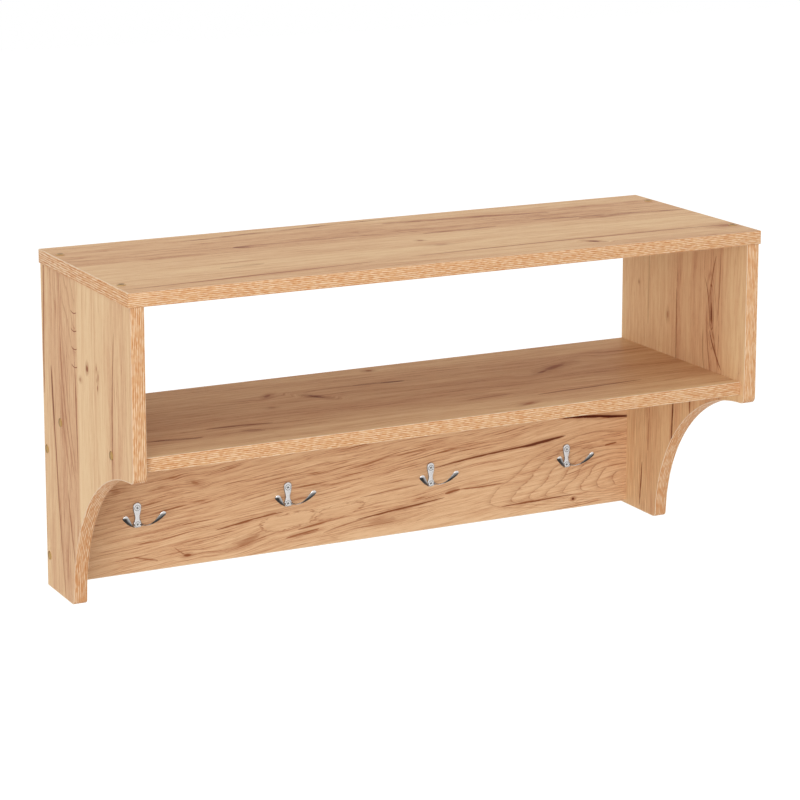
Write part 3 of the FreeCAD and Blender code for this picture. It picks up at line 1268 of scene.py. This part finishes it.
    @staticmethod
    def left_panel() -> OakDecor:
        """Left panel: a pinkish plank with long splits behind a light one."""
        return OakDecor(
            name="oak_left_panel",
            lay=Lay.PANEL,
            seed=61.0,
            tone=0.36,
            planks=(Plank(-200, 0.12, 14), Plank(-115, 0.46, 0.8), Plank(-20, 0.26, 3)),
            cracks=(
                Crack((-78, -29), (-300, -55), 2.0, 0.62, 2),
                Crack((-80, -29), (-150, -37), 2.6, 0.8),
                Crack((60, -12), (-120, -4), 2.6, 0.5),
                Crack((-36, -62), (-200, -102), 1.6, 0.4, 9),
                Crack((-50, -74), (-190, -106), 1.5, 0.32, 6),
                Crack((-90, -60), (-215, -92), 2.2, 0.3, 5),
                Crack((-60, -108), (-184, -111), 1.5, 0.6),
                Crack((-2, -230), (-190, -220), 1.5, 0.6, 3),
                Crack((-215, -77), (-308, -98), 1.8, 0.5, 2),
                Crack((-230, -50), (-345, -61), 2.4, 0.3),
                Crack((-200, -84), (-330, -70), 1.6, 0.25),
            ),
            knots=(
                Knot((-60, -147.5), (5, 4), 0.65),
                Knot((-54, -176), (4, 1.6), 0.45),
                Knot((-63, -181), (5, 1.4), 0.5),
                Knot((-67, -177), (4, 1.4), 0.4),
                Knot((-75, -179), (4, 1.6), 0.5),
                Knot((-77, -125.5), (3, 4), 0.35),
                Knot((-8, -48), (9, 2.0), 0.4),
            ),
            arches=(Arches((90, -112), reach=165, half=58, under=6, rings=5.5, depth=0.28),),
            ladders=(Ladder((-5, -107), last=-70, half=10, gap=20.6, depth=0.8),),
            figured_side=-1,
            light=paint(225, 193, 152),
            tan=paint(216, 179, 138),
            pink=paint(203, 158, 122),
            brown=paint(164, 112, 78),
        )

    @staticmethod
    def right_panel() -> OakDecor:
        """Right panel: a long knot near the front and a dark joint between two planks."""
        return OakDecor(
            name="oak_right_panel",
            lay=Lay.PANEL,
            seed=81.0,
            tone=0.06,
            planks=(Plank(-231, 0.38, 1.2), Plank(-129, 0.16, 0.8)),
            cracks=(
                Crack((-45, -128), (-150, -130), 1.2, 0.5),
                Crack((-180, -126), (-250, -123), 1.8, 0.85),
                Crack((-170, -162), (-198, -163), 2, 0.55),
                Crack((-285, -55), (-345, -51), 1.8, 0.7),
                Crack((-225, -70), (-268, -68), 2.4, 0.35),
                Crack((-20, -192), (-84, -201), 1.3, 0.5, -4),
                Crack((-84, -203), (-129, -229), 1.7, 0.65, 3),
                Crack((-90, -212), (-130, -224), 1.4, 0.45, 2),
                Crack((-60, -196), (-140, -208), 1.3, 0.45, 3),
                Crack((-85, -190), (-135, -193), 1.3, 0.35, 2),
                Crack((10, -214), (-46, -203), 1.4, 0.45, 2),
                Crack((14, -222), (-70, -219), 1.3, 0.4, -3),
                Crack((-10, -66), (-104, -64), 2.2, 0.22),
                Crack((-150, -62), (-520, -62), 60, 0.1),
            ),
            knots=(
                Knot((-64, -206), (16, 2.2), 0.75, 0.05),
                Knot((-89, -210), (8, 2), 0.45, 0.3),
                Knot((-83, -109), (6, 3), 0.35),
                Knot((-54, -41), (3, 2), 0.35),
            ),
            islands=(Island((-55, -206), (28, 5), 0.7, 0.04), Island((-60, -206), (46, 10), 0.3, 0.06)),
            figured_side=-1,
            streaks=0.55,
            light=paint(227, 193, 148),
            tan=paint(218, 177, 134),
            pink=paint(205, 156, 118),
        )

    def build(self) -> None:
        """Gives every board its decor."""
        for node, decor in self.decors().items():
            dress(self.nodes[node], decor.build())
            log.info("%s: %s", node, decor.name)


@dataclass
class EdgeBands:
    """The seven edge bands, with the long outer edges scraped round as they are after gluing."""

    nodes: Mapping[str, bpy.types.Object]
    scrape: float = 0.45 * MM
    glued_within: float = 0.2 * MM
    flat_below: float = 0.5
    corner_above: float = 60.0
    smooth_below: float = 35.0
    segments: int = 3
    seed_step: float = 7.0
    carriers: Mapping[str, str] = field(
        default_factory=lambda: {
            "top_band_front": "top_board",
            "top_band_left": "top_board",
            "top_band_right": "top_board",
            "side_band_left": "side_panel_left",
            "side_band_right": "side_panel_right",
            "shelf_band": "shelf_board",
            "hook_board_band": "hook_board",
        }
    )

    @staticmethod
    def finish_of(node: str, seed: float) -> EdgeBandFinish:
        """Chooses the finish of one band, laid along it.

        Args:
            node: CAD node of the band.
            seed: Seed of its streaks.

        Returns:
            The finish.
        """
        if node in ("top_band_left", "top_band_right"):
            return EdgeBandFinish(node, 1, 2, seed, dash=13.0, gap=2.6)
        if node.startswith("side_band"):
            return EdgeBandFinish(node, 2, 0, seed, Arc(), dash=10.0)
        if node == "hook_board_band":
            return EdgeBandFinish(node, 0, 1, seed)
        return EdgeBandFinish(node, 0, 2, seed)

    def rounded(self, node: str, board: str) -> bpy.types.Mesh:
        """The band's mesh with its free long edges rounded.

        Args:
            node: CAD node of the band.
            board: CAD node of the board that carries it.

        Returns:
            A closed mesh.
        """
        shape = merged_copy(self.nodes[node])
        flat = math.radians(self.flat_below)
        bmesh.ops.dissolve_limit(shape, angle_limit=flat, verts=shape.verts, edges=shape.edges)
        carrier = merged_copy(self.nodes[board])
        surface = BVHTree.FromBMesh(carrier)
        free = {
            corner for corner in shape.verts
            if surface.find_nearest(corner.co)[3] > self.glued_within
        }
        edges = [
            edge for edge in shape.edges
            if edge.verts[0] in free and edge.verts[1] in free
            and len(edge.link_faces) == 2 and edge.calc_face_angle() > math.radians(self.corner_above)
        ]
        bmesh.ops.bevel(
            shape, geom=edges, offset=self.scrape, segments=self.segments, profile=0.5,
            affect="EDGES", clamp_overlap=True,
        )
        mesh = bpy.data.meshes.new(node + "_rounded")
        shape.to_mesh(mesh)
        shape.free()
        carrier.free()
        crease(mesh, self.smooth_below)
        return mesh

    def build(self) -> None:
        """Replaces each CAD band with its rounded one."""
        for number, (node, board) in enumerate(self.carriers.items()):
            band = place_mesh(node + "_strip", self.rounded(node, board))
            dress(band, self.finish_of(node, number * self.seed_step).build())
            seat(band, node)


@dataclass
class DoubleHooks:
    """The four cast double hooks, with the soft edges and filled corners of a casting."""

    nodes: Mapping[str, bpy.types.Object]
    names: tuple[str, ...] = ("hook_1", "hook_2", "hook_3", "hook_4")
    voxel: float = 0.28 * MM
    softness: float = 0.5
    rounds: int = 5
    finish: CastNickel = CastNickel()

    def cast(self, node: str) -> bpy.types.Object:
        """Remeshes one hook so that its parts run into each other.

        Args:
            node: CAD node of the hook.

        Returns:
            The hook.
        """
        shape = merged_copy(self.nodes[node])
        mesh = bpy.data.meshes.new(node)
        shape.to_mesh(mesh)
        shape.free()
        hook = place_mesh(node + "_cast", mesh)
        remesh = hook.modifiers.new("casting", "REMESH")
        remesh.mode = "VOXEL"
        remesh.voxel_size = self.voxel
        remesh.use_smooth_shade = True
        soften = hook.modifiers.new("polish", "SMOOTH")
        soften.factor = self.softness
        soften.iterations = self.rounds
        settle(hook)
        return hook

    def build(self) -> None:
        """Replaces the four CAD hooks."""
        material = self.finish.build()
        for node in self.names:
            hook = self.cast(node)
            dress(hook, material)
            seat(hook, node)


class Repeater(Graph):
    """A geometry tree that sets one small model on every corner of a mesh of places."""

    # Largest random turn of a model about its own axis, in radians
    TURN = 0.5
    SMOOTH_BELOW = 32.0

    def __init__(self, name: str) -> None:
        """Starts the tree with its places as input and the finished pieces as output.

        Args:
            name: Name of the tree.
        """
        super().__init__(bpy.data.node_groups.new(name, "GeometryNodeTree"))
        self.names: dict[str, str] = {}
        self.tree.interface.new_socket("Places", in_out="INPUT", socket_type="NodeSocketGeometry")
        self.tree.interface.new_socket("Pieces", in_out="OUTPUT", socket_type="NodeSocketGeometry")
        self.inlet = self.node("NodeGroupInput")
        self.outlet = self.node("NodeGroupOutput")

    def entry(self, name: str, kind: str) -> Socket:
        """Adds a named input to the tree.

        Args:
            name: Name of the input.
            kind: Type of its socket.

        Returns:
            The socket that carries it inside the tree.
        """
        made = self.tree.interface.new_socket(name, in_out="INPUT", socket_type=kind)
        self.names[name] = made.identifier
        return self.inlet.outputs[name]

    def size(self, name: str) -> Value:
        """Adds a named size to the tree's inputs."""
        return Value(self, self.entry(name, "NodeSocketFloat"))

    def raised(self, model: bpy.types.Node, height: Any) -> Socket:
        """A model moved up its axis."""
        inputs = {0: model.outputs[0], "Translation": self.vector(0.0, 0.0, height)}
        return self.node("GeometryNodeTransform", inputs=inputs).outputs[0]

    def cylinder(self, corners: int, radius: Value, depth: Value, middle: Any) -> Socket:
        """A cylinder with its middle at a height."""
        inputs = {"Vertices": corners, "Radius": radius, "Depth": depth}
        return self.raised(self.node("GeometryNodeMeshCylinder", inputs=inputs), middle)

    def cone(self, corners: int, radii: Sequence[Any], depth: Value, foot: Any) -> Socket:
        """A cone that narrows from the first radius at its foot to the second one."""
        inputs = {"Vertices": corners, "Radius Bottom": radii[0], "Radius Top": radii[1], "Depth": depth}
        return self.raised(self.node("GeometryNodeMeshCone", inputs=inputs), foot)

    def boolean(self, operation: str, solid: Optional[Socket], *others: Socket) -> Socket:
        """Unites models, or cuts some out of a solid.

        Args:
            operation: UNION or DIFFERENCE.
            solid: The solid that is cut, or nothing for a union.
            others: The models.

        Returns:
            The result.
        """
        inputs = {} if solid is None else {0: solid}
        made = self.node("GeometryNodeMeshBoolean", {"operation": operation, "solver": "EXACT"}, inputs)
        for other in others:
            self.tree.links.new(other, made.inputs["Mesh 2"])
        return made.outputs[0]

    def joined(self, *models: Socket) -> Socket:
        """Several models in one.

        Args:
            models: The models.

        Returns:
            All of them.
        """
        made = self.node("GeometryNodeJoinGeometry")
        for model in models:
            self.tree.links.new(model, made.inputs[0])
        return made.outputs[0]

    def repeat(self, model: Socket, seed: int) -> None:
        """Sets the model on the places, aimed and turned at random, and finishes the tree.

        Args:
            model: The small model, at the origin and pointing along Z.
            seed: Seed of the turns.
        """
        aim = self.node("FunctionNodeEulerToRotation", inputs={0: self.entry("Aim", "NodeSocketVector")})
        copies = self.node(
            "GeometryNodeInstanceOnPoints",
            inputs={"Points": self.inlet.outputs["Places"], "Instance": model, "Rotation": aim.outputs[0]},
        )
        limits = {2: 0.0, 3: self.TURN, "Seed": seed}
        chance = self.node("FunctionNodeRandomValue", {"data_type": "FLOAT"}, limits)
        turn = self.vector(0.0, 0.0, chance.outputs[1])
        spin = self.node("FunctionNodeEulerToRotation", inputs={0: turn})
        spun = self.node(
            "GeometryNodeRotateInstances",
            inputs={"Instances": copies.outputs[0], "Rotation": spin.outputs[0]},
        )
        real = self.node("GeometryNodeRealizeInstances", inputs={0: spun.outputs[0]})
        finish = self.entry("Finish", "NodeSocketMaterial")
        dressed = self.node("GeometryNodeSetMaterial", inputs={0: real.outputs[0], "Material": finish})
        self.feed(self.outlet.inputs["Pieces"], dressed.outputs[0])

    def make(
        self, name: str, places: Iterable[Vector], sizes: Mapping[str, Any], material: bpy.types.Material
    ) -> bpy.types.Object:
        """Runs the tree on some places and keeps its result as a plain mesh.

        Args:
            name: Name of the piece.
            places: Where the small models go, in millimetres.
            sizes: Values of the tree's named inputs.
            material: Finish of the models.

        Returns:
            The piece.
        """
        mesh = bpy.data.meshes.new(name)
        mesh.from_pydata([tuple(place * MM) for place in places], [], [])
        piece = place_mesh(name, mesh)
        modifier = piece.modifiers.new("repeat", "NODES")
        modifier.node_group = self.tree
        for label, value in {**sizes, "Finish": material}.items():
            modifier[self.names[label]] = value
        settle(piece)
        weld(piece.data)
        crease(piece.data, self.SMOOTH_BELOW)
        return piece


class Aim(Enum):
    """Which way a fastener's axis points, from its head inwards or from a cap's foot outwards."""

    UP = (0.0, 0.0, 0.0)
    LEFT = (0.0, -math.pi / 2, 0.0)
    RIGHT = (0.0, math.pi / 2, 0.0)
    BACK = (-math.pi / 2, 0.0, 0.0)
    FORWARD = (math.pi / 2, 0.0, 0.0)


def tree_inputs(sizes: Mapping[str, float], aim: Aim) -> dict[str, Any]:
    """Values of a tree's inputs: its sizes turned from millimetres into metres, and its aim."""
    return {**{label: size * MM for label, size in sizes.items()}, "Aim": aim.value}


@dataclass(frozen=True)
class CrossScrew:
    """Countersunk wood screw with a cross recess. Sizes in millimetres."""

    head: float
    neck: float
    length: float
    rim: float = 0.3
    tip: float = 3.0
    slot: float = 0.75
    span: float = 3.5
    recess: float = 1.5

    def inputs(self, aim: Aim) -> dict[str, Any]:
        """Values of the tree's inputs.

        Args:
            aim: Which way the screw points.

        Returns:
            Each input's name and value.
        """
        sizes = {
            "Head Radius": self.head, "Neck Radius": self.neck, "Length": self.length, "Rim": self.rim,
            "Tip": self.tip, "Slot": self.slot, "Span": self.span, "Recess": self.recess,
        }
        return tree_inputs(sizes, aim)

    @staticmethod
    def tree() -> Repeater:
        """Makes the geometry tree of one screw, its head at the origin, and its copies.

        Returns:
            The finished tree.
        """
        head_corners, shank_corners, point_corners = 40, 24, 8
        head_lap, tip_lap = 1e-6, 1e-5
        recess_point, screw_point = 1e-4, 5e-5
        grow = Repeater("cross_screws")
        head, neck, rim = grow.size("Head Radius"), grow.size("Neck Radius"), grow.size("Rim")
        length, tip = grow.size("Length"), grow.size("Tip")
        slot, span, recess = grow.size("Slot"), grow.size("Span"), grow.size("Recess")
        sink = head - neck
        disc = grow.cylinder(head_corners, head, rim, rim * 0.5)
        cone = grow.cone(head_corners, (head, neck), sink, rim - head_lap)
        solid = grow.boolean("UNION", None, disc, cone)
        deep = recess * 2.0
        bars = [
            grow.node("GeometryNodeMeshCube", inputs={"Size": grow.vector(wide, high, deep)}).outputs[0]
            for wide, high in ((span, slot), (slot, span))
        ]
        point = grow.cone(point_corners, (slot, recess_point), recess, 0.0)
        cut = grow.boolean("DIFFERENCE", solid, *bars, point)
        below = sink + rim
        straight = length - below - tip
        shank = grow.cylinder(shank_corners, neck, straight, below + straight * 0.5)
        end = grow.cone(shank_corners, (neck, screw_point), tip, length - tip - tip_lap)
        grow.repeat(grow.joined(cut, shank, end), seed=5)
        return grow


@dataclass(frozen=True)
class CoverCap:
    """Domed cover cap with a stem that plugs into the connector's socket. Sizes in millimetres."""

    radius: float = 5.0
    rise: float = 1.2
    edge: float = 0.5
    stem: float = 1.8
    plug: float = 3.0

    def inputs(self, aim: Aim) -> dict[str, Any]:
        """Values of the tree's inputs.

        Args:
            aim: Which way the cap points.

        Returns:
            Each input's name and value.
        """
        sizes = {
            "Radius": self.radius, "Rise": self.rise, "Edge": self.edge, "Stem Radius": self.stem,
            "Stem Length": self.plug,
        }
        return tree_inputs(sizes, aim)

    @staticmethod
    def tree() -> Repeater:
        """Makes the geometry tree of one cap, its foot at the origin, and its copies.

        Returns:
            The finished tree.
        """
        rim_corners, rings, stem_corners = 48, 10, 24
        grow = Repeater("cover_caps")
        radius, rise, edge = grow.size("Radius"), grow.size("Rise"), grow.size("Edge")
        stem, plug = grow.size("Stem Radius"), grow.size("Stem Length")
        disc = grow.node(
            "GeometryNodeMeshCylinder",
            {"fill_type": "TRIANGLE_FAN"},
            {"Vertices": rim_corners, "Fill Segments": rings, "Radius": radius, "Depth": edge},
        )
        half = edge * 0.5
        x, y, z = grow.split(grow.node("GeometryNodeInputPosition").outputs[0])
        left = (1.0 - (x * x + y * y) / (radius * radius)).highest(0.0).root()
        dome = grow.node(
            "GeometryNodeSetPosition",
            inputs={
                "Geometry": grow.raised(disc, half),
                "Selection": z.above(half),
                "Offset": grow.vector(0.0, 0.0, left * (rise - edge)),
            },
        )
        pin = grow.cylinder(stem_corners, stem, plug, plug * -0.5)
        grow.repeat(grow.joined(dome.outputs[0], pin), seed=9)
        return grow


@dataclass
class Fasteners:
    """Screws, caps and hangers. Cross-headed screws and domed caps replace the plain ones."""

    nodes: Mapping[str, bpy.types.Object]
    hook_screw: CrossScrew = CrossScrew(3.1, 1.1, 14.0)
    hanger_screw: CrossScrew = CrossScrew(3.2, 1.2, 16.0)
    cap: CoverCap = CoverCap()
    outer: float = 398.0
    panel: float = 390.0
    top: float = 50.0
    top_rows: Spot = (-46.5, -235.5)
    shelf_row: float = -142.0
    shelf_spots: Spot = (-56.5, -216.5)
    board_row: float = -9.5
    board_spots: Spot = (-184.0, -312.0)
    hook_face: float = -19.5
    hook_reach: float = 292.0
    hook_rows: Spot = (-266.5, -286.5)
    hanger_rows: Spot = (19.5, -13.5)
    # Depths over which the painted shade in a screw's recess fades in
    sunk: Spot = (0.05, 0.4)
    nickel: Colour = paint(206, 203, 201)
    nickel_shade: Colour = paint(110, 108, 108)
    zinc: Colour = paint(205, 207, 210)
    zinc_shade: Colour = paint(140, 142, 146)
    sheet: Colour = paint(200, 203, 207)
    sheet_shade: Colour = paint(140, 144, 150)
    connectors: tuple[str, ...] = ("top_connectors", "shelf_connectors", "hook_board_connectors")
    hangers: tuple[str, ...] = ("hanger_left", "hanger_right")

    def screws(self) -> None:
        """The cross-headed screws of the hooks and of the hangers."""
        grow = CrossScrew.tree()
        # The nickel and zinc screws get painted shade inside their cross recesses
        start, end = self.sunk
        recess = (self.hook_face + start, self.hook_face + end)
        nickel = Metal("nickel_screws", self.nickel, self.nickel_shade, 0.24, recess=recess).build()
        zinc = Metal("hanger_zinc", self.zinc, self.zinc_shade, 0.32, recess=(-start, -end)).build()
        hooks = [-self.hook_reach + number * self.hook_reach * 2 / 3 for number in range(4)]
        spots = [Vector((x, self.hook_face, z)) for x in hooks for z in self.hook_rows]
        screws = grow.make("hook_screws_set", spots, self.hook_screw.inputs(Aim.BACK), nickel)
        seat(screws, "hook_screws")
        spots = [Vector((x, 0.0, z)) for x in (-self.panel, self.panel) for z in self.hanger_rows]
        screws = grow.make("hanger_screws_set", spots, self.hanger_screw.inputs(Aim.FORWARD), zinc)
        seat(screws, "hanger_screws")

    def caps(self) -> None:
        """The cover caps on the top board and on both side panels."""
        grow = CoverCap.tree()
        plastic = CapPlastic().build()
        spots = [Vector((x, y, self.top)) for x in (-self.panel, self.panel) for y in self.top_rows]
        caps = grow.make("top_caps_set", spots, self.cap.inputs(Aim.UP), plastic)
        seat(caps, "top_caps")
        for node, x, aim in (
            ("side_caps_left", -self.outer, Aim.LEFT), ("side_caps_right", self.outer, Aim.RIGHT)
        ):
            spots = [Vector((x, y, self.shelf_row)) for y in self.shelf_spots]
            spots += [Vector((x, self.board_row, z)) for z in self.board_spots]
            caps = grow.make(node + "_set", spots, self.cap.inputs(aim), plastic)
            seat(caps, node)

    def build(self) -> None:
        """Makes the screws and caps, and dresses what stays as it is."""
        self.screws()
        self.caps()
        zinc = Metal("zinc_screws", self.zinc, self.zinc_shade, 0.32).build()
        sheet = Metal("zinc_plate", self.sheet, self.sheet_shade, 0.36, flowers=0.35).build()
        for names, material in ((self.connectors, zinc), (self.hangers, sheet)):
            for node in names:
                dress(self.nodes[node], material)
                log.info("%s: %s", node, material.name)


@dataclass(frozen=True)
class Lamp:
    """Large soft lamp: where it stands and how wide it is, in metres, and its power in watts."""

    name: str
    place: tuple[float, float, float]
    width: float
    power: float

    def build(self, target: Vector) -> None:
        """Makes the lamp, aimed at a point.

        Args:
            target: The point.
        """
        light = bpy.data.lights.new(self.name, "AREA")
        light.size = self.width
        light.energy = self.power
        lamp = bpy.data.objects.new(self.name, light)
        lamp.location = self.place
        lamp.rotation_euler = (target - Vector(self.place)).to_track_quat("-Z", "Y").to_euler()
        bpy.context.scene.collection.objects.link(lamp)


@dataclass(frozen=True)
class Studio:
    """Camera, soft light, pale floor and white surroundings. Places and sizes are in metres."""

    eye: tuple[float, float, float] = (-1.4300, -2.9348, 0.6449)
    yaw: float = 26.982
    pitch: float = -10.743
    sensor: float = 36.0
    focal_share: float = 3.43613
    shift_down: float = 0.2
    clip: Spot = (0.05, 100.0)
    floor_drop: float = 1.6
    floor_size: float = 30.0
    floor_paint: Colour = (0.8, 0.8, 0.79, 1.0)
    floor_lift: float = 0.42
    sky: float = 0.8
    aim: tuple[float, float, float] = (0.0, -0.15, -0.1)
    lamps: tuple[Lamp, ...] = (
        Lamp("key_lamp", (-6.9, -9.3, 0.9), 6.0, 560.0),
        Lamp("overhead_lamp", (-0.6, -2.0, 4.0), 3.0, 30.0),
    )

    def camera(self) -> None:
        """Sets the camera where the photograph was taken from."""
        lens = bpy.data.cameras.new("camera")
        lens.sensor_width = self.sensor
        lens.lens = self.focal_share * self.sensor
        lens.shift_y = -self.shift_down
        lens.clip_start, lens.clip_end = self.clip
        camera = bpy.data.objects.new("camera", lens)
        camera.location = self.eye
        camera.rotation_euler = Euler((math.radians(90 + self.pitch), 0.0, math.radians(-self.yaw)))
        bpy.context.scene.collection.objects.link(camera)
        bpy.context.scene.camera = camera

    @staticmethod
    def seen(graph: Graph) -> Value:
        """Picks out the rays that show a surface, and not those that only carry its light.

        Args:
            graph: The tree in the making.

        Returns:
            1 for rays from the camera and for those seen in gloss or glass.
        """
        rays = graph.node("ShaderNodeLightPath").outputs
        kinds = [Value(graph, rays[f"Is {kind} Ray"]) for kind in ("Camera", "Glossy", "Transmission")]
        return (kinds[0] + kinds[1] + kinds[2]).clamp()

    def world(self) -> None:
        """White surroundings that light the object a little less than they show."""
        world = bpy.data.worlds.new("studio")
        world.use_nodes = True
        graph = Graph(world.node_tree)
        strength = self.seen(graph) * (1.0 - self.sky) + self.sky
        white = {"Color": (1.0, 1.0, 1.0, 1.0), "Strength": strength}
        light = graph.node("ShaderNodeBackground", inputs=white)
        graph.node("ShaderNodeOutputWorld", inputs={"Surface": light.outputs[0]})
        bpy.context.scene.world = world

    def floor(self) -> None:
        """Pale floor well below the rack, white to the eye but still taking its shadow."""
        half = self.floor_size / 2
        mesh = bpy.data.meshes.new("floor")
        corners = [(-half, -half), (half, -half), (half, half), (-half, half)]
        mesh.from_pydata([(x, y, -self.floor_drop) for x, y in corners], [], [(0, 1, 2, 3)])
        floor = place_mesh("floor", mesh)
        material = bpy.data.materials.new("floor_paint")
        material.use_nodes = True
        graph = Graph(material.node_tree)
        matt = graph.node("ShaderNodeBsdfDiffuse", inputs={"Color": self.floor_paint})
        lift = graph.node("ShaderNodeEmission", inputs={"Strength": self.seen(graph) * self.floor_lift})
        both = graph.node("ShaderNodeAddShader", inputs={0: matt.outputs[0], 1: lift.outputs[0]})
        graph.node("ShaderNodeOutputMaterial", inputs={"Surface": both.outputs[0]})
        dress(floor, material)

    def build(self) -> None:
        """Sets up the studio."""
        self.camera()
        self.world()
        self.floor()
        for lamp in self.lamps:
            lamp.build(Vector(self.aim))
        bpy.context.scene.view_settings.view_transform = "Standard"
        log.info("studio: camera at %s, %d lamps", self.eye, len(self.lamps))


def main() -> None:
    """Builds the looks of the coat rack round its frame."""
    logging.basicConfig(level=logging.INFO, format="%(name)s: %(message)s")
    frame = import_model()
    nodes = frame["nodes"]
    Studio().build()
    Boards(nodes).build()
    EdgeBands(nodes).build()
    DoubleHooks(nodes).build()
    Fasteners(nodes).build()


if __name__ == "__main__":
    main()
